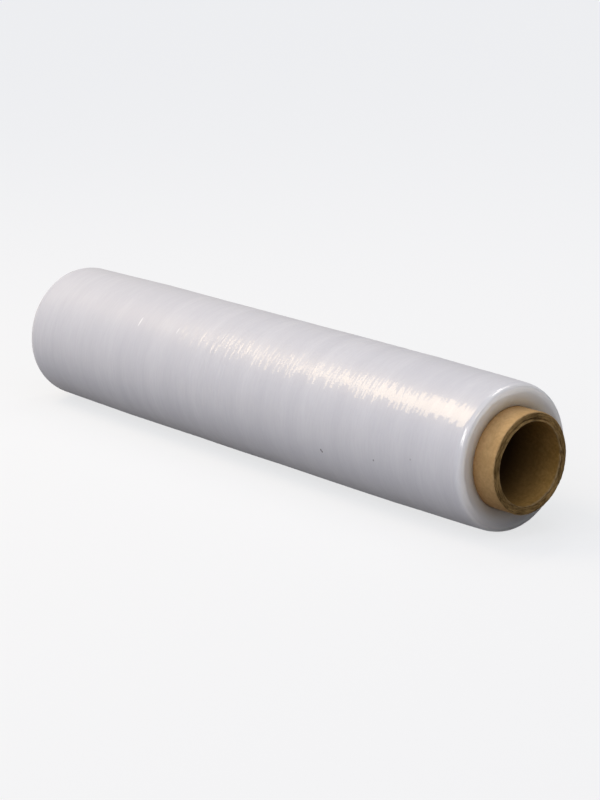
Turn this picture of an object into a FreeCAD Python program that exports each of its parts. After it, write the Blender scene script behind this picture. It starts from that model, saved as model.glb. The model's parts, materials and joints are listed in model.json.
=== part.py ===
import FreeCAD, Part
import os

# Cling film roll lying on its side: film wound on a paper core that is longer than the film.
# X runs along the roll, with the longer core stub at +X. Z is up. The origin lies on the surface
# that the roll rests on, under the middle of the core. All sizes are in millimetres.

# Paper core
core_bore = 38.0  # inside diameter, for a 38 mm (1 1/2 in) spindle
core_wall = 3.85  # thickness of the glued paper plies
core_bevel = 0.4  # worn outer edge of each cut end

# Wound film
film_width = 311.0  # from lip to lip
film_build = 10.55  # thickness of the turns behind the lips
film_crown = 0.7  # how much thicker the turns are over the middle of the width
crown_taper = 55.0  # width over which the turns thin out again towards each lip
slump_along = 5.0  # from a lip's face back to where the outer turns begin to slump
slump_drop = 0.8  # how far they have sunk where they reach the lip's edge
lip_across = 2.0  # rounding of a lip's edge, measured across the turns
lip_along = 1.0  # the same rounding, measured along the roll
face_dish = 2.0  # how far the innermost turns sit back from the lip
flat_depth = 0.3  # how far the roll's weight presses the lowest turns flat

# The core shows past the film at both ends, and the film is wound a little off its middle
stub_near = 9.8  # past the lip at +X
stub_far = 7.5  # past the lip at -X

# Sizes and places that follow from those above
core_length = stub_far + film_width + stub_near
core_near_x = core_length / 2
core_far_x = -core_length / 2
lip_near_x = core_near_x - stub_near
lip_far_x = core_far_x + stub_far
bore_radius = core_bore / 2
core_radius = bore_radius + core_wall
end_radius = core_radius + film_build
crown_radius = end_radius + film_crown
edge_radius = end_radius - slump_drop
lip_radius = edge_radius - lip_across
axis_height = crown_radius - flat_depth

round_handle = 0.5523  # share of a rounded corner's sides at which its curve handles stand
slump_handle = 2 / 3  # the same for the slump, which is a parabola
face_handle = 0.5  # share of the end face's height over which it bends to meet the lip


def at(along, radius):
    """A point above the roll's axis, in the plane that the outlines are drawn in."""
    return FreeCAD.Vector(along, 0, axis_height + radius)


def lines(*points):
    """Straight edges from each (along, radius) pair to the next."""
    return [Part.makeLine(at(*a), at(*b)) for a, b in zip(points, points[1:])]


def curve(*poles):
    """A Bezier edge through the first and last (along, radius) pair, drawn towards the others."""
    bezier = Part.BezierCurve()
    bezier.setPoles([at(*pole) for pole in poles])
    return bezier.toShape()


def rounded(start, corner, end, handle):
    """A curve from start to end, tangent there to the two sides of the corner."""
    start_handle = [s + handle * (c - s) for s, c in zip(start, corner)]
    end_handle = [e + handle * (c - e) for e, c in zip(end, corner)]
    return curve(start, start_handle, end_handle, end)


def turned(edges):
    """The solid that a closed outline sweeps when it turns about the roll's axis."""
    outline = Part.Face(Part.Wire(edges))
    return outline.revolve(at(0, 0), FreeCAD.Vector(1, 0, 0), 360)


def make_core_tube():
    """The core's wall, square at the bore and bevelled at the outer edge of both cut ends."""
    inner = [(core_far_x, bore_radius), (core_near_x, bore_radius)]
    near = [(core_near_x, core_radius - core_bevel), (core_near_x - core_bevel, core_radius)]
    far = [(core_far_x + core_bevel, core_radius), (core_far_x, core_radius - core_bevel)]
    return turned(lines(*inner, *near, *far, inner[0]))


def film_end(lip_x, inward):
    """One end of the film's outline: where it starts on the core, its three curves, and where they
    run into the outer turns. inward is the sign of the way from the lip to the film's middle."""
    foot = (lip_x + inward * face_dish, core_radius)
    crest = (lip_x, lip_radius)
    edge = (lip_x + inward * lip_along, edge_radius)
    shoulder = (lip_x + inward * slump_along, end_radius)
    brow = (lip_x, lip_radius - face_handle * (lip_radius - core_radius))
    over_slump = ((edge[0] + shoulder[0]) / 2, end_radius)
    slope = slump_drop / abs(over_slump[0] - edge[0])
    over_edge = (lip_x, edge_radius - slope * lip_along)
    face = curve(foot, brow, crest)
    lip = rounded(crest, over_edge, edge, round_handle)
    slump = rounded(edge, over_slump, shoulder, slump_handle)
    return foot, [face, lip, slump], shoulder


def make_film_wind():
    """All the turns of film as one body: seated on the core, thickest over the middle, with
    slumped and rounded lips and hollow end faces, and pressed flat where it rests."""
    near_foot, near_end, near_shoulder = film_end(lip_near_x, -1)
    far_foot, far_end, far_shoulder = film_end(lip_far_x, 1)
    near_crown = (near_shoulder[0] - crown_taper, crown_radius)
    far_crown = (far_shoulder[0] + crown_taper, crown_radius)
    seat = lines(far_foot, near_foot)
    outside = lines(near_shoulder, near_crown, far_crown, far_shoulder)
    wound = turned([*seat, *near_end, *outside, *reversed(far_end)])
    corner = FreeCAD.Vector(core_far_x, -crown_radius, -crown_radius)
    below = Part.makeBox(core_length, 2 * crown_radius, crown_radius, corner)
    return wound.cut(below)


def main():
    os.makedirs("parts", exist_ok=True)
    nodes = {"core_tube": make_core_tube(), "film_wind": make_film_wind()}
    for name, shape in nodes.items():
        shape.exportStep(f"parts/{name}.step")


main()
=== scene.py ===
"""Looks of a cling film roll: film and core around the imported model, with studio and camera.

Metres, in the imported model's frame: X runs along the roll towards its near end, Z is up and the
roll lies on z = 0. Outlines and relief are worked out in millimetres. Turned shapes are grids of
points: rows follow an outline (along the roll, distance from the axis), columns go round the axis.
"""

import json
import math

import bpy
import numpy as np
from mathutils import Matrix, Vector


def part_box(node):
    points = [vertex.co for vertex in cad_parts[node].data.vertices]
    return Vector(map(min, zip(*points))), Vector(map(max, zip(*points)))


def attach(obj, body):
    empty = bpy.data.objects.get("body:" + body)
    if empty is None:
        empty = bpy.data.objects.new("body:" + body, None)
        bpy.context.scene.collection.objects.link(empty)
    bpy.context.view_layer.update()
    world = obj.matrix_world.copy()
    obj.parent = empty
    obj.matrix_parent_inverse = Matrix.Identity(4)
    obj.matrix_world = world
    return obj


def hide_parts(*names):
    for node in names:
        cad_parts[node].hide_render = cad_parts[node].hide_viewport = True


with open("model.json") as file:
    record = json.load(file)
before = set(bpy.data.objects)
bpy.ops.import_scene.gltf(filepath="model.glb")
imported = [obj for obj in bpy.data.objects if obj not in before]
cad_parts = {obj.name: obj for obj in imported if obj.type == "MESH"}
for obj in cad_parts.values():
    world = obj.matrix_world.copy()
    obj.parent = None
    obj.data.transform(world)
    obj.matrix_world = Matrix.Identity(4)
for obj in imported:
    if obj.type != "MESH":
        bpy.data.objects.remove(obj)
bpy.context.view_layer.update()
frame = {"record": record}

MM = 0.001

# ---- sizes, in millimetres --------------------------------------------------------------------

# Outline of the wound film, as in the CAD model
SLUMP_ALONG = 5.0
SLUMP_DROP = 0.8
LIP_ACROSS = 2.0
LIP_ALONG = 1.0
FACE_DISH = 2.0
FILM_CROWN = 0.7
CROWN_TAPER = 55.0
ROUND_HANDLE = 0.5523
SLUMP_HANDLE = 2 / 3
FACE_HANDLE = 0.5

# Open line between the innermost turns and the core, in the visual mesh alone
GROOVE_WIDTH = 0.3
GROOVE_DEPTH = 1.0

film_low, film_high = (np.array(corner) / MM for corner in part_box("film_wind"))
core_low, core_high = (np.array(corner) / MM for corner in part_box("core_tube"))
bore_mount = next(m for m in frame["record"]["mounts"] if m["name"] == "core_bore")

AXIS_Z = (core_low[2] + core_high[2]) / 2
CORE_RADIUS = (core_high[2] - core_low[2]) / 2
BORE_RADIUS = bore_mount["dims"]["r_mm"]
CROWN_RADIUS = film_high[2] - AXIS_Z
END_RADIUS = CROWN_RADIUS - FILM_CROWN
EDGE_RADIUS = END_RADIUS - SLUMP_DROP
LIP_RADIUS = EDGE_RADIUS - LIP_ACROSS
FAR_LIP, NEAR_LIP = film_low[0], film_high[0]
FAR_END, NEAR_END = core_low[0], core_high[0]

# Rows of the film's mesh: on an end face, a lip and a slump, and the step between those of the body
FACE_ROWS, LIP_ROWS, SLUMP_ROWS = 20, 12, 18
FILM_STEP = 0.362


# ---- outlines and grids -----------------------------------------------------------------------


def bezier(poles, steps):
    """Points along one cubic curve, without its last point."""
    t = np.linspace(0, 1, steps, endpoint=False)[:, None]
    a, b, c, d = (np.array(p, float) for p in poles)
    return (1 - t) ** 3 * a + 3 * t * (1 - t) ** 2 * b + 3 * t * t * (1 - t) * c + t**3 * d


def rounded(start, corner, end, handle, steps):
    """Points along a curve that is tangent to both sides of a corner, without its last point."""
    start, corner, end = (np.array(p, float) for p in (start, corner, end))
    first = start + handle * (corner - start)
    second = end + handle * (corner - end)
    return bezier([start, first, second, end], steps)


def straight(start, end, steps):
    """Points along a straight line, without its last point."""
    t = np.linspace(0, 1, steps, endpoint=False)[:, None]
    return np.array(start, float) * (1 - t) + np.array(end, float) * t


def film_end(lip_x, inward):
    """Outline of an end of the film, from the groove at the core to where the outer turns start."""
    foot = (lip_x + inward * FACE_DISH, CORE_RADIUS + GROOVE_WIDTH)
    crest = (lip_x, LIP_RADIUS)
    edge = (lip_x + inward * LIP_ALONG, EDGE_RADIUS)
    shoulder = (lip_x + inward * SLUMP_ALONG, END_RADIUS)
    brow = (lip_x, LIP_RADIUS - FACE_HANDLE * (LIP_RADIUS - CORE_RADIUS))
    over_slump = ((edge[0] + shoulder[0]) / 2, END_RADIUS)
    slope = SLUMP_DROP / abs(over_slump[0] - edge[0])
    over_edge = (lip_x, EDGE_RADIUS - slope * LIP_ALONG)
    # the face has one free pole, here raised to the cubic form
    face_poles = [
        foot,
        [(f + 2 * b) / 3 for f, b in zip(foot, brow)],
        [(c + 2 * b) / 3 for c, b in zip(crest, brow)],
        crest,
    ]
    outline = [
        bezier(face_poles, FACE_ROWS),
        rounded(crest, over_edge, edge, ROUND_HANDLE, LIP_ROWS),
        rounded(edge, over_slump, shoulder, SLUMP_HANDLE, SLUMP_ROWS),
    ]
    return np.vstack(outline), shoulder


def film_outline():
    """The film's outline from the near groove over the body to the far groove."""
    near, near_top = film_end(NEAR_LIP, -1)
    far, far_top = film_end(FAR_LIP, 1)
    far = np.vstack([far[1:], [far_top]])[::-1]
    near_mid = (near_top[0] - CROWN_TAPER, CROWN_RADIUS)
    far_mid = (far_top[0] + CROWN_TAPER, CROWN_RADIUS)
    body = [
        straight(a, b, round((a[0] - b[0]) / FILM_STEP))
        for a, b in ((near_top, near_mid), (near_mid, far_mid), (far_mid, far_top))
    ]
    near_bottom = [(NEAR_LIP - FACE_DISH - GROOVE_DEPTH, CORE_RADIUS)]
    far_foot = [(FAR_LIP + FACE_DISH, CORE_RADIUS + GROOVE_WIDTH)]
    far_bottom = [(FAR_LIP + FACE_DISH + GROOVE_DEPTH, CORE_RADIUS)]
    return np.vstack([near_bottom, near, *body, far, far_foot, far_bottom])


def outward(outline):
    """Unit normals of an outline that runs from +X to -X over the top."""
    run = np.gradient(outline, axis=0)
    normal = np.stack([run[:, 1], -run[:, 0]], 1)
    return normal / np.linalg.norm(normal, axis=1, keepdims=True)


def length_along(outline):
    """How far along the outline each of its points is."""
    steps = np.linalg.norm(np.diff(outline, axis=0), axis=1)
    return np.concatenate([[0], np.cumsum(steps)])


def angles(count):
    """Angles round the axis from +Y towards +Z, starting at the lowest point."""
    return -math.pi / 2 + np.arange(count) * 2 * math.pi / count


def fade(values, start, reach):
    """0 up to start, then rising evenly to 1 over reach."""
    return np.clip((values - start) / reach, 0, 1)


def bump_at(values, middle, width):
    """A smooth bump of height 1 about the middle."""
    return np.exp(-(((values - middle) / width) ** 2))


def arc_window(theta, start, end, soft):
    """1 between two angles in degrees, fading out over soft degrees at both sides."""
    middle, half = (start + end) / 2, (end - start) / 2
    away = np.abs((np.degrees(theta) - middle + 180) % 360 - 180) - half
    return np.clip(0.5 - away / (2 * soft), 0, 1)


def soft_noise(rng, shape, rows_sigma, columns_sigma):
    """Smooth random field with unit spread that closes up round the axis. Sigmas are in cells."""
    field = np.fft.fft2(rng.standard_normal(shape))
    rows = np.fft.fftfreq(shape[0])[:, None]
    columns = np.fft.fftfreq(shape[1])[None, :]
    falloff = np.exp(-2 * math.pi**2 * ((rows * rows_sigma) ** 2 + (columns * columns_sigma) ** 2))
    smooth = np.real(np.fft.ifft2(field * falloff))
    return smooth / smooth.std()


def turned_mesh(name, along, radius, theta):
    """Closed ring mesh from grids of places along the roll and distances from the axis.

    What would reach below the surface that the roll lies on is pressed flat there."""
    rows, columns = along.shape
    y = radius * np.cos(theta)[None, :]
    z = radius * np.sin(theta)[None, :] + AXIS_Z
    points = np.stack([along, y, np.maximum(z, 0)], -1).reshape(-1, 3) * MM
    i = np.arange(rows)[:, None]
    j = np.arange(columns)[None, :]
    i_next, j_next = (i + 1) % rows, (j + 1) % columns
    quads = [i * columns + j, i_next * columns + j, i_next * columns + j_next, i * columns + j_next]
    faces = np.stack(quads, -1).reshape(-1, 4)
    mesh = bpy.data.meshes.new(name)
    mesh.from_pydata(points.tolist(), [], faces.tolist())
    mesh.update()
    mesh.shade_smooth()
    return mesh


def add_values(mesh, name, values, shape):
    """A named value at each point of a grid of that shape, from one for each point or each row."""
    attribute = mesh.attributes.new(name, "FLOAT", "POINT")
    attribute.data.foreach_set("value", np.broadcast_to(values, shape).astype(np.float32).ravel())


def add_piece(mesh, node):
    piece = bpy.data.objects.new(mesh.name, mesh)
    bpy.context.scene.collection.objects.link(piece)
    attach(piece, "root")
    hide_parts(node)
    return piece


# ---- film -------------------------------------------------------------------------------------

FILM_COLUMNS = 104
FILM_SEED = 7

# Relief of the film: grain along the roll in millimetres and round it in degrees, then height in
# millimetres
SHORT_STREAKS = (0.36, 4.5, 0.009)
LONG_STREAKS = (0.5, 22, 0.006)
STREAK_PATCHES = (14, 30, 0.9)  # makes the streaks stronger and weaker, by powers of e
BANDS = (3.5, 40, 0.012)
WAVES = (16, 22, 0.07)
TURN_BEADS = (0.34, 9, 0.034)  # edges of single turns on the lips

STRONGEST_PATCH = 1.2  # the highest power of e
FACE_STREAKS = 0.5  # share of the streaks that the end faces lack
RELIEF_FADE = 2.0  # over which relief comes in from the core, and from an end face to its lip
BEADS_REACH = 3.5  # how far back from a lip its beads end


def make_film():
    outline = film_outline()
    x, r = outline[:, :1], outline[:, 1:]
    normal = outward(outline)
    shape = (len(outline), FILM_COLUMNS)
    rng = np.random.default_rng(FILM_SEED)

    def relief(along, around, height):
        return height * soft_noise(rng, shape, along / FILM_STEP, around * FILM_COLUMNS / 360)

    on_face = 1 - fade(r, LIP_RADIUS - RELIEF_FADE, RELIEF_FADE)
    from_lip = np.minimum(NEAR_LIP - x, x - FAR_LIP)
    on_lip = (1 - fade(from_lip, BEADS_REACH - RELIEF_FADE, RELIEF_FADE)) * (1 - on_face)
    streaks = relief(*SHORT_STREAKS) + relief(*LONG_STREAKS)
    streaks *= np.exp(np.minimum(relief(*STREAK_PATCHES), STRONGEST_PATCH))
    swell = relief(*BANDS) + relief(*WAVES)
    lift = streaks * (1 - FACE_STREAKS * on_face) + swell * (1 - on_face)
    lift = lift * fade(r, CORE_RADIUS, RELIEF_FADE) + relief(*TURN_BEADS) * on_lip

    along = x + normal[:, :1] * lift
    radius = r + normal[:, 1:] * lift
    mesh = turned_mesh("film_wind_turns", along, radius, angles(FILM_COLUMNS))
    add_values(mesh, "along_turns", length_along(outline)[:, None], shape)
    add_values(mesh, "height", r - CORE_RADIUS, shape)
    add_values(mesh, "lip", on_lip, shape)
    return add_piece(mesh, "film_wind")


# ---- core -------------------------------------------------------------------------------------

CORE_COLUMNS = 300
CORE_SEED = 21
SKIN, CUT, BORE = 0, 1, 2  # finishes, in the order of the core's materials
PLY = 0.55
PLY_COUNT = 6
EDGE_WEAR = 0.4
UNDER_FILM = 2.0  # how far in behind the film's foot the outside's close rows go on
BORE_MOUTH = 14.0  # how deep the bore's close rows go

# Grain of the core's relief round it, in degrees
FIBRE_GRAIN = 1.2
TORN_GRAIN = 1.6
LINE_GRAIN = 7
WOBBLE_GRAIN = 9
UNEVEN_GRAIN = 25

# Two arcs of the near cut as start, end and softness, in degrees from +Y towards +Z
OPEN_JOINT = (62, 152, 10)  # here the joint between two plies stands open
FRAYED_EDGE = (-95, 48, 12)  # here the inner edge is frayed

# Relief of the cut. A pair is the mean and the spread.
LINE_WIDTH = 0.09  # of the line between two plies
LINE_DEPTH = (0.16, 0.07)
LINE_WOBBLE = 0.07
JOINT_PLACE = 1.05  # out from the bore
JOINT_WIDTH = 0.21
JOINT_DEPTH = 2.2
JOINT_WOBBLE = 0.08
JOINT_STAND = 0.12  # how far the ply inside the open joint stands out
JOINT_LEAN = 0.25  # how far it leans into the bore
JOINT_LEAN_REACH = 0.8
FRAY_STAND = 0.28
FRAY_LEAN = (0.12, 0.10)
MOUTH_WEAR = 2.5  # how deep in the bore its edge is worn
CUT_FIBRES, CUT_UNEVEN = 0.07, 0.05
WALL_FIBRES, WALL_UNEVEN = 0.02, 0.03
WALL_SHARE_ON_CUTS = 0.3
FAR_SHARE = 0.5  # of the near cut's relief that the far one has

# Where and how much the inner edge is rubbed pale
PALE_REACH = 1.2
PALE_WIDTH = 0.35
PALE_AMOUNT = (0.35, 0.3)
PALE_WHERE_FRAYED = 0.65
# Painted shade: the bore's colour darkens inwards as if in shade, fully at this depth
PAINTED_SHADE_DEPTH = 30  # how deep in the bore its colour is at its darkest


def core_outline():
    """The core's outline, and for each of its points which finish it has."""
    near, far = NEAR_END, FAR_END
    near_hidden = NEAR_LIP - FACE_DISH - UNDER_FILM
    far_hidden = FAR_LIP + FACE_DISH + UNDER_FILM
    mouth = near - BORE_MOUTH
    bevelled = CORE_RADIUS - EDGE_WEAR
    parts = [
        (SKIN, straight((near_hidden, CORE_RADIUS), (near - EDGE_WEAR, CORE_RADIUS), 28)),
        (SKIN, straight((near - EDGE_WEAR, CORE_RADIUS), (near, bevelled), 4)),
        (CUT, straight((near, bevelled), (near, BORE_RADIUS), 32)),
        (BORE, straight((near, BORE_RADIUS), (mouth, BORE_RADIUS), 26)),
        (BORE, straight((mouth, BORE_RADIUS), (far, BORE_RADIUS), 60)),
        (CUT, straight((far, BORE_RADIUS), (far, bevelled), 14)),
        (SKIN, straight((far, bevelled), (far + EDGE_WEAR, CORE_RADIUS), 2)),
        (SKIN, straight((far + EDGE_WEAR, CORE_RADIUS), (far_hidden, CORE_RADIUS), 10)),
        (SKIN, straight((far_hidden, CORE_RADIUS), (near_hidden, CORE_RADIUS), 2)),
    ]
    outline = np.vstack([points for _, points in parts])
    finish = np.concatenate([np.full(len(points), kind) for kind, points in parts])
    return outline, finish


def make_core():
    outline, finish = core_outline()
    x, r = outline[:, :1], outline[:, 1:]
    theta = angles(CORE_COLUMNS)
    shape = (len(outline), CORE_COLUMNS)
    per_degree = CORE_COLUMNS / 360
    rng = np.random.default_rng(CORE_SEED)

    def ring_noise(grain):
        """One row of noise, for all rows alike."""
        return soft_noise(rng, (1, CORE_COLUMNS), 0, grain * per_degree)

    fibres = soft_noise(rng, shape, 1.0, FIBRE_GRAIN * per_degree)
    wobble = ring_noise(WOBBLE_GRAIN)
    torn = ring_noise(TORN_GRAIN)
    uneven = ring_noise(UNEVEN_GRAIN)
    gap = arc_window(theta, *OPEN_JOINT)[None, :]
    frayed = arc_window(theta, *FRAYED_EDGE)[None, :]
    near_cut = (finish[:, None] == CUT) & (x > 0)
    far_cut = (finish[:, None] == CUT) & (x < 0)
    in_bore = finish[:, None] == BORE
    inner_ply = bump_at(r, BORE_RADIUS, PLY)

    # how far the cut lies behind its plane
    sink = CUT_FIBRES * fibres + CUT_UNEVEN * uneven
    for ply in range(1, PLY_COUNT + 1):
        line = bump_at(r + LINE_WOBBLE * wobble, BORE_RADIUS + ply * PLY, LINE_WIDTH)
        sink += line * (LINE_DEPTH[0] + LINE_DEPTH[1] * ring_noise(LINE_GRAIN))
    joint = bump_at(r + JOINT_WOBBLE * wobble, BORE_RADIUS + JOINT_PLACE, JOINT_WIDTH)
    stand = inner_ply * (JOINT_STAND * gap + FRAY_STAND * frayed * torn)
    sink += JOINT_DEPTH * gap * joint - stand

    # the worn edge goes on into the bore
    into_bore = NEAR_END - x
    mouth = (1 - fade(into_bore, 0, MOUTH_WEAR)) * in_bore
    along = x - sink * near_cut + FAR_SHARE * sink * far_cut + mouth * stand
    lean = (FRAY_LEAN[0] + FRAY_LEAN[1] * torn) * frayed * np.maximum(mouth, near_cut * inner_ply)
    joint_reach = near_cut * bump_at(r, BORE_RADIUS, JOINT_LEAN_REACH)
    lean += JOINT_LEAN * gap * np.maximum(mouth, joint_reach)
    wall = WALL_FIBRES * fibres + WALL_UNEVEN * uneven
    radius = r - lean + wall * np.where(near_cut | far_cut, WALL_SHARE_ON_CUTS, 1.0)
    mesh = turned_mesh("core_tube_plies", along, radius, theta)

    pale = np.maximum(
        mouth * (1 - fade(into_bore, 0, PALE_REACH)), near_cut * bump_at(r, BORE_RADIUS, PALE_WIDTH)
    )
    pale_amount = PALE_AMOUNT[0] + PALE_AMOUNT[1] * torn + PALE_WHERE_FRAYED * frayed
    add_values(mesh, "worn", pale * np.clip(pale_amount, 0, 1), shape)
    add_values(mesh, "wall_depth", r - BORE_RADIUS, shape)
    # how much painted shade the bore's colour gets, growing inwards
    add_values(mesh, "painted_bore_shade_share", fade(into_bore, 0, PAINTED_SHADE_DEPTH) * in_bore, shape)

    # a face has the finish of the row that it starts from
    mesh.polygons.foreach_set("material_index", np.repeat(finish, CORE_COLUMNS).astype(np.int32))
    return add_piece(mesh, "core_tube")


# ---- materials --------------------------------------------------------------------------------


def new_material(name):
    material = bpy.data.materials.new(name)
    material.use_nodes = True
    tree = material.node_tree
    tree.nodes.clear()
    output = tree.nodes.new("ShaderNodeOutputMaterial")
    return material, tree, output


def set_socket(tree, socket, source):
    """Links an output to a socket, or writes a value into it."""
    if isinstance(source, bpy.types.NodeSocket):
        tree.links.new(source, socket)
    else:
        socket.default_value = source


def add_node(tree, kind, sources=None, **settings):
    """A node with its settings, and with its sockets fed from {socket: output or value}."""
    made = tree.nodes.new("ShaderNode" + kind)
    for name, value in settings.items():
        setattr(made, name, value)
    for socket, source in (sources or {}).items():
        set_socket(tree, made.inputs[socket], source)
    return made


def calc(tree, operation, *sources):
    """A Math node's result."""
    return add_node(tree, "Math", dict(enumerate(sources)), operation=operation).outputs[0]


def product(tree, *sources):
    result = sources[0]
    for source in sources[1:]:
        result = calc(tree, "MULTIPLY", result, source)
    return result


def vector_calc(tree, operation, *sources, result="Vector"):
    """A Vector Math node's result."""
    made = add_node(tree, "VectorMath", dict(enumerate(sources)), operation=operation)
    return made.outputs[result]


def smooth_step(tree, value, low, high, at_low=0.0, at_high=1.0):
    """Goes smoothly from one value to another as its source goes from low to high."""
    ends = {"From Min": low, "From Max": high, "To Min": at_low, "To Max": at_high}
    made = add_node(tree, "MapRange", {"Value": value, **ends}, interpolation_type="SMOOTHSTEP")
    return made.outputs[0]


def mix_colour(tree, factor, a, b):
    """A colour Mix node's result. Its sockets go by place, as their names come more than once."""
    mix = add_node(tree, "Mix", {0: factor, 6: a, 7: b}, data_type="RGBA")
    return mix.outputs[2]


def ramp(tree, factor, stops):
    made = add_node(tree, "ValToRGB", {"Fac": factor})
    for element, (place, colour) in zip(made.color_ramp.elements, stops):
        element.position = place
        element.color = colour
    return made.outputs["Color"]


def noise(tree, where, scale, detail):
    made = add_node(tree, "TexNoise", {"Vector": where, "Scale": scale, "Detail": detail})
    return made.outputs["Fac"]


def bump(tree, height, relief, strength=1.0, **under):
    """A bumped normal, for relief in millimetres."""
    sources = {"Height": height, "Strength": strength, "Distance": relief * MM, **under}
    return add_node(tree, "Bump", sources).outputs["Normal"]


def named_value(tree, name):
    return add_node(tree, "Attribute", attribute_name=name).outputs["Fac"]


# Noise on the film: scale along the roll per millimetre and round it per metre, detail, and a shift
# that keeps each noise apart from the others
FINE_TURNS = (1.4, 84.0, 3.0, 0.0)
RIDGES = (1.0, 120.0, 0.0, 40.0)
RIDGE_GROUPS = (0.05, 30.0, 2.0, 90.0)
RIDGE_ENDS = (0.78, 95.0, 0.0, 15.0)
LIP_TURNS = (2.6, 18.0, 2.0, 60.0)
TONES = (0.12, 7.0, 4.0, 0.0)
THREADS = (1.3, 140.0, 2.0, 7.0)

# Steps on the film: the source's two values, then the results there
WEAK_GROUP = (0.34, 0.58, 0.7, 1.0)
RIDGE_GROWTH = (50.0, 125.0, 0.5, 1.0)  # millimetres along the outline from the near groove
TILT_GROWTH = (20.0, 110.0, 0.55, 1.0)
RIDGE_TILT = (0.34, 0.58, -0.125, 0.05)  # radians
THREAD_SHARE = (0.3, 0.7, 0.0, 0.24)
BODY_HEIGHT = (8.0, 10.4)  # millimetres out from the core, where end face turns into body
FACE_HEIGHT = (1.0, 7.0)
BODY_METALLIC = (0.0, 1.0, 0.03, 0.15)
BODY_SUBSURFACE = (0.0, 1.0, 1.0, 0.1)
LIP_COAT = (0.0, 1.0, 0.16, 0.7)
FACE_COAT = (4.0, 8.0, 0.2, 1.0)
RUBBED_COAT = (5 * MM, 30 * MM, 0.25, 1.0)  # metres up from what the roll lies on

FINE_RELIEF = 0.05  # millimetres
FINE_STRENGTH = 0.28
RIDGE_RELIEF = 0.14
LIP_RELIEF = 0.05

TONE_STOPS = ((0.3, (0.655, 0.66, 0.69, 1)), (0.7, (0.71, 0.715, 0.74, 1)))
THREAD = (0.60, 0.585, 0.64, 1)
# The end face is warmer near the core: partly the brown core showing through the film, partly a
# painted reflection of the core
FACE_AT_CORE = (0.93, 0.81, 0.66, 1)
FACE_AT_LIP = (0.95, 0.885, 0.80, 1)
DIRT = (0.06, 0.04, 0.035, 1)
# painted highlight glint: white streaks round the roll where the highlight band catches ridges
PAINTED_GLINT = (0.95, 0.95, 0.96, 1)

# Dust specks and painted highlight glints on the film: place, reach along and round the roll in
# millimetres, colour and strength
DIRT_AND_GLINT_MARKS = (
    ((66.3, -32.7, 24.8), (0.6, 0.75), DIRT, 0.9),
    ((66.9, -32.7, 24.0), (0.5, 0.65), DIRT, 0.9),
    ((101.4, -33.5, 27.9), (0.5, 0.6), DIRT, 0.6),
    ((124.8, -34.0, 33.6), (0.6, 0.6), DIRT, 0.3),
    # the next two are painted highlight glints in the highlight band, not scuffs
    ((-74.5, -24.9, 57.0), (0.6, 3.2), PAINTED_GLINT, 0.75),
    ((-46.0, -24.3, 57.6), (0.5, 2.2), PAINTED_GLINT, 0.5),
)
MARK_CORE = 0.55  # share of a mark's reach over which it has its full strength


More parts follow.
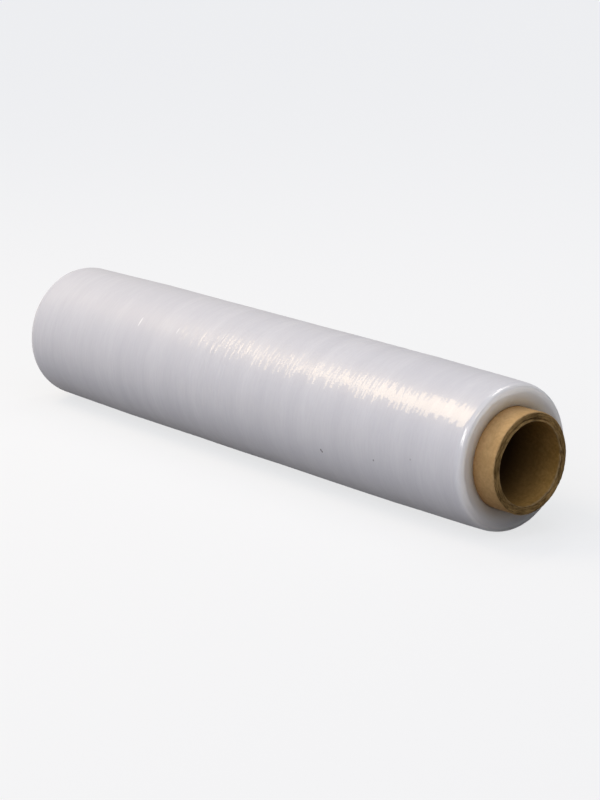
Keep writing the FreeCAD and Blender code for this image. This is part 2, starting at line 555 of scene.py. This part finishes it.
def film_material():
    material, tree, output = new_material("film")
    turns = named_value(tree, "along_turns")
    height = named_value(tree, "height")
    lip = named_value(tree, "lip")
    place = add_node(tree, "TexCoord").outputs["Object"]
    split = add_node(tree, "SeparateXYZ", {"Vector": place}).outputs

    def wound_noise(along_per_mm, around_per_m, detail, shift):
        """Noise that is stretched round the roll."""
        parts = {
            "X": calc(tree, "MULTIPLY_ADD", turns, along_per_mm, shift),
            "Y": product(tree, split["Y"], around_per_m),
            "Z": product(tree, split["Z"], around_per_m),
        }
        return noise(tree, add_node(tree, "CombineXYZ", parts).outputs[0], 1.0, detail)

    # relief
    groups = smooth_step(tree, wound_noise(*RIDGE_GROUPS), *WEAK_GROUP)
    ridge_strength = product(tree, groups, smooth_step(tree, turns, *RIDGE_GROWTH))
    ridges = product(tree, wound_noise(*RIDGES), ridge_strength)
    lip_turns = product(tree, wound_noise(*LIP_TURNS), lip)
    fine_normal = bump(tree, wound_noise(*FINE_TURNS), FINE_RELIEF, FINE_STRENGTH)
    ridge_normal = bump(tree, ridges, RIDGE_RELIEF, Normal=fine_normal)
    coat_normal = bump(tree, lip_turns, LIP_RELIEF, Normal=ridge_normal)

    # the ridges' ends also tip the gloss round the roll, which frays the highlight's long edges
    ends = smooth_step(tree, wound_noise(*RIDGE_ENDS), *RIDGE_TILT)
    tilt = product(tree, ends, groups, smooth_step(tree, turns, *TILT_GROWTH))
    to_world = {"vector_type": "VECTOR", "convert_from": "OBJECT", "convert_to": "WORLD"}
    along = add_node(tree, "VectorTransform", {"Vector": (1.0, 0.0, 0.0)}, **to_world).outputs[0]
    surface = add_node(tree, "NewGeometry").outputs["Normal"]
    around = vector_calc(tree, "CROSS_PRODUCT", along, surface)
    tipped = add_node(tree, "VectorMath", {0: around, "Scale": tilt}, operation="SCALE").outputs[0]
    coat_normal = vector_calc(tree, "NORMALIZE", vector_calc(tree, "ADD", coat_normal, tipped))

    # colour
    body = smooth_step(tree, height, *BODY_HEIGHT)
    thread = smooth_step(tree, wound_noise(*THREADS), *THREAD_SHARE)
    colour = mix_colour(tree, thread, ramp(tree, wound_noise(*TONES), TONE_STOPS), THREAD)
    # warmer towards the core: partly the core seen through the film, partly painted reflection of
    # it
    face = mix_colour(tree, smooth_step(tree, height, *FACE_HEIGHT), FACE_AT_CORE, FACE_AT_LIP)
    colour = mix_colour(tree, body, face, colour)
    # dust specks darken the film here, and painted highlight glints lighten it
    for spot, (reach_along, reach_round), mark, amount in DIRT_AND_GLINT_MARKS:
        away = vector_calc(tree, "SUBTRACT", place, [value * MM for value in spot])
        shrink = [1 / (reach * MM) for reach in (reach_along, reach_round, reach_round)]
        away = vector_calc(tree, "MULTIPLY", away, shrink)
        away = vector_calc(tree, "LENGTH", away, result="Value")
        share = smooth_step(tree, away, MARK_CORE, 1.0, amount, 0.0)
        colour = mix_colour(tree, share, colour, mark)

    coat = product(
        tree,
        smooth_step(tree, lip, *LIP_COAT),
        smooth_step(tree, height, *FACE_COAT),
        smooth_step(tree, split["Z"], *RUBBED_COAT),
    )
    shader = add_node(
        tree,
        "BsdfPrincipled",
        {
            "Base Color": colour,
            "Metallic": smooth_step(tree, body, *BODY_METALLIC),
            "Specular IOR Level": 0.0,
            "Roughness": 0.42,
            "Subsurface Weight": smooth_step(tree, body, *BODY_SUBSURFACE),
            "Subsurface Radius": (1.0, 0.95, 0.9),
            "Subsurface Scale": 0.02,
            "Coat Weight": coat,
            "Coat IOR": 3.0,
            "Coat Roughness": 0.022,
            "Normal": fine_normal,
            "Coat Normal": coat_normal,
        },
    )
    tree.links.new(shader.outputs[0], output.inputs["Surface"])
    return material


PLY_STREAKS = 0.009  # how fast the cut's streaks change across the plies, per millimetre
FIBRE_DETAIL = 5.0
CLOUD_SCALE = 90.0
CLOUD_DETAIL = 3.0
BOARD_BUMP = 0.6  # strength of the fibres' relief
PAPER_STOPS = (0.38, 0.62)
WORN_PAPER = (0.38, 0.265, 0.13, 1)
# painted shade, mixed into the bore's colour deeper inside
PAINTED_BORE_SHADE = (0.07, 0.035, 0.010, 1)

# Finishes of the core, in the order of SKIN, CUT and BORE: name, darker and lighter tone, scale of
# the fibres, relief in millimetres, and whether the fibres follow the plies
BOARDS = (
    ("kraft_skin", (0.49, 0.305, 0.125, 1), (0.62, 0.40, 0.18, 1), 700.0, 0.05, False),
    ("kraft_cut", (0.14, 0.082, 0.022, 1), (0.57, 0.365, 0.14, 1), 300.0, 0.25, True),
    ("kraft_bore", (0.36, 0.20, 0.045, 1), (0.52, 0.30, 0.085, 1), 700.0, 0.06, False),
)


def paper_material(name, dark, light, grain, relief, layered):
    material, tree, output = new_material(name)
    place = add_node(tree, "TexCoord").outputs["Object"]
    where = place
    if layered:
        depth = product(tree, named_value(tree, "wall_depth"), PLY_STREAKS)
        split = add_node(tree, "SeparateXYZ", {"Vector": place}).outputs
        parts = {"X": depth, "Y": split["Y"], "Z": split["Z"]}
        where = add_node(tree, "CombineXYZ", parts).outputs[0]
    fibre = noise(tree, where, grain, FIBRE_DETAIL)
    cloud = noise(tree, place, CLOUD_SCALE, CLOUD_DETAIL)
    tone = product(tree, calc(tree, "ADD", fibre, cloud), 0.5)
    colour = ramp(tree, tone, zip(PAPER_STOPS, (dark, light)))
    colour = mix_colour(tree, named_value(tree, "worn"), colour, WORN_PAPER)
    # painted shade deeper in the bore
    colour = mix_colour(tree, named_value(tree, "painted_bore_shade_share"), colour, PAINTED_BORE_SHADE)
    shader = add_node(
        tree,
        "BsdfPrincipled",
        {
            "Base Color": colour,
            "Roughness": 0.85,
            "Specular IOR Level": 0.2,
            "Normal": bump(tree, fibre, relief, BOARD_BUMP),
        },
    )
    tree.links.new(shader.outputs[0], output.inputs["Surface"])
    return material


# ---- studio -----------------------------------------------------------------------------------

FLOOR_SIZE = 60
FLOOR_PALE = (0.95, 0.955, 0.96, 1)
FLOOR_DIM = (0.115, 0.10, 0.09, 1)
SHADOW_SHARE = 0.25  # how much of the floor's look is lit, and so keeps the object's shadow
BACKDROP = (0.86, 0.87, 0.89, 1)

# The room's own light: brightest from its window side, and none from the other side
ROOM_BRIGHT = (1.23, 1.255, 1.41, 1)
ROOM_DIM = (0.0, 0.0, 0.0, 1)
ROOM_SPREAD = 3.0
ROOM_WINDOW_SIDE = (0.0, -0.735, 0.678)

# Lamps. Each faces against its direction, and its first size lies along the roll.
KEY_PLACE = (-0.415, -0.331, 0.764)
KEY_DIRECTION = (-0.70, -0.26, 0.665)
KEY_SIZE = (0.50, 0.42)
KEY_COLOUR = (1.0, 0.785, 0.49)
KEY_WATTS = 2.45
STRIPS = (("side", (-0.18, -0.82, 0.53), 0.48), ("top", (-0.34, 0.38, 0.86), 0.60))  # with watts
STRIP_DISTANCE = 0.9  # from the middle of the near lip
STRIP_SIZE = (0.09, 0.50)
STRIP_COLOUR = (1.0, 0.96, 0.90)

CAMERA_PLACE = (0.8671, -0.7562, 0.3481)
CAMERA_RIGHT = (0.66376, 0.74795, 0.0)
CAMERA_UP = (-0.2004, 0.17784, 0.96344)
CAMERA_BACK = (0.72061, -0.63949, 0.26793)
CAMERA_LENS = 112.5
CAMERA_SENSOR = 36
CAMERA_REACH = (0.05, 60)


def turned_to(right, up, back):
    """The turn that takes an object's own axes to these directions."""
    return Matrix((right, up, back)).transposed().to_4x4()


def seen_ray(tree):
    """1 for rays by which the camera sees a surface, directly, mirrored or through glass."""
    path = add_node(tree, "LightPath").outputs
    direct_or_mirrored = calc(tree, "MAXIMUM", path["Is Camera Ray"], path["Is Glossy Ray"])
    return calc(tree, "MAXIMUM", direct_or_mirrored, path["Is Transmission Ray"])


def make_floor():
    material, tree, output = new_material("floor")
    seen = seen_ray(tree)
    tone = mix_colour(tree, seen, FLOOR_DIM, FLOOR_PALE)
    lit = add_node(tree, "BsdfDiffuse", {"Color": tone}).outputs[0]
    glow = add_node(tree, "Emission", {"Color": FLOOR_PALE, "Strength": 1.0}).outputs[0]
    share = product(tree, seen, 1 - SHADOW_SHARE)
    mixed = add_node(tree, "MixShader", {0: share, 1: lit, 2: glow}).outputs[0]
    tree.links.new(mixed, output.inputs["Surface"])
    bpy.ops.mesh.primitive_plane_add(size=FLOOR_SIZE)
    floor = bpy.context.object
    floor.name = "floor"
    floor.data.materials.append(material)


def make_world():
    world = bpy.data.worlds.new("studio")
    world.use_nodes = True
    tree = world.node_tree
    tree.nodes.clear()
    output = tree.nodes.new("ShaderNodeOutputWorld")
    direction = add_node(tree, "TexCoord").outputs["Generated"]
    toward = vector_calc(tree, "DOT_PRODUCT", direction, ROOM_WINDOW_SIDE, result="Value")
    share = add_node(tree, "MapRange", {"Value": toward, "From Min": -1.0}).outputs[0]
    share = calc(tree, "POWER", share, ROOM_SPREAD)
    ambient = mix_colour(tree, share, ROOM_DIM, ROOM_BRIGHT)
    tone = mix_colour(tree, seen_ray(tree), ambient, BACKDROP)
    background = add_node(tree, "Background", {"Color": tone, "Strength": 1.0})
    tree.links.new(background.outputs[0], output.inputs["Surface"])
    bpy.context.scene.world = world


def add_softbox(name, place, direction, size, colour, watts):
    light = bpy.data.lights.new(name, "AREA")
    light.shape = "ELLIPSE"
    light.size, light.size_y = size
    light.color = colour
    light.energy = watts
    lamp = bpy.data.objects.new(name, light)
    back = Vector(direction).normalized()
    along = (Vector((1, 0, 0)) - back * back.x).normalized()
    lamp.matrix_world = Matrix.Translation(place) @ turned_to(along, back.cross(along), back)
    lamp.visible_camera = False
    bpy.context.scene.collection.objects.link(lamp)


def make_lights():
    add_softbox("key", KEY_PLACE, KEY_DIRECTION, KEY_SIZE, KEY_COLOUR, KEY_WATTS)
    near_lip = Vector((NEAR_LIP * MM, 0, AXIS_Z * MM))
    for name, direction, watts in STRIPS:
        place = near_lip + STRIP_DISTANCE * Vector(direction).normalized()
        add_softbox(name, place, direction, STRIP_SIZE, STRIP_COLOUR, watts)


def make_camera():
    camera = bpy.data.objects.new("camera", bpy.data.cameras.new("camera"))
    camera.data.lens = CAMERA_LENS
    camera.data.sensor_width = CAMERA_SENSOR
    camera.data.clip_start, camera.data.clip_end = CAMERA_REACH
    turn = turned_to(CAMERA_RIGHT, CAMERA_UP, CAMERA_BACK)
    camera.matrix_world = Matrix.Translation(CAMERA_PLACE) @ turn
    bpy.context.scene.collection.objects.link(camera)
    bpy.context.scene.camera = camera


# ---- scene ------------------------------------------------------------------------------------

film = make_film()
film.data.materials.append(film_material())
core = make_core()
for board in BOARDS:
    core.data.materials.append(paper_material(*board))
make_floor()
make_world()
make_lights()
make_camera()
bpy.context.scene.view_settings.view_transform = "Standard"
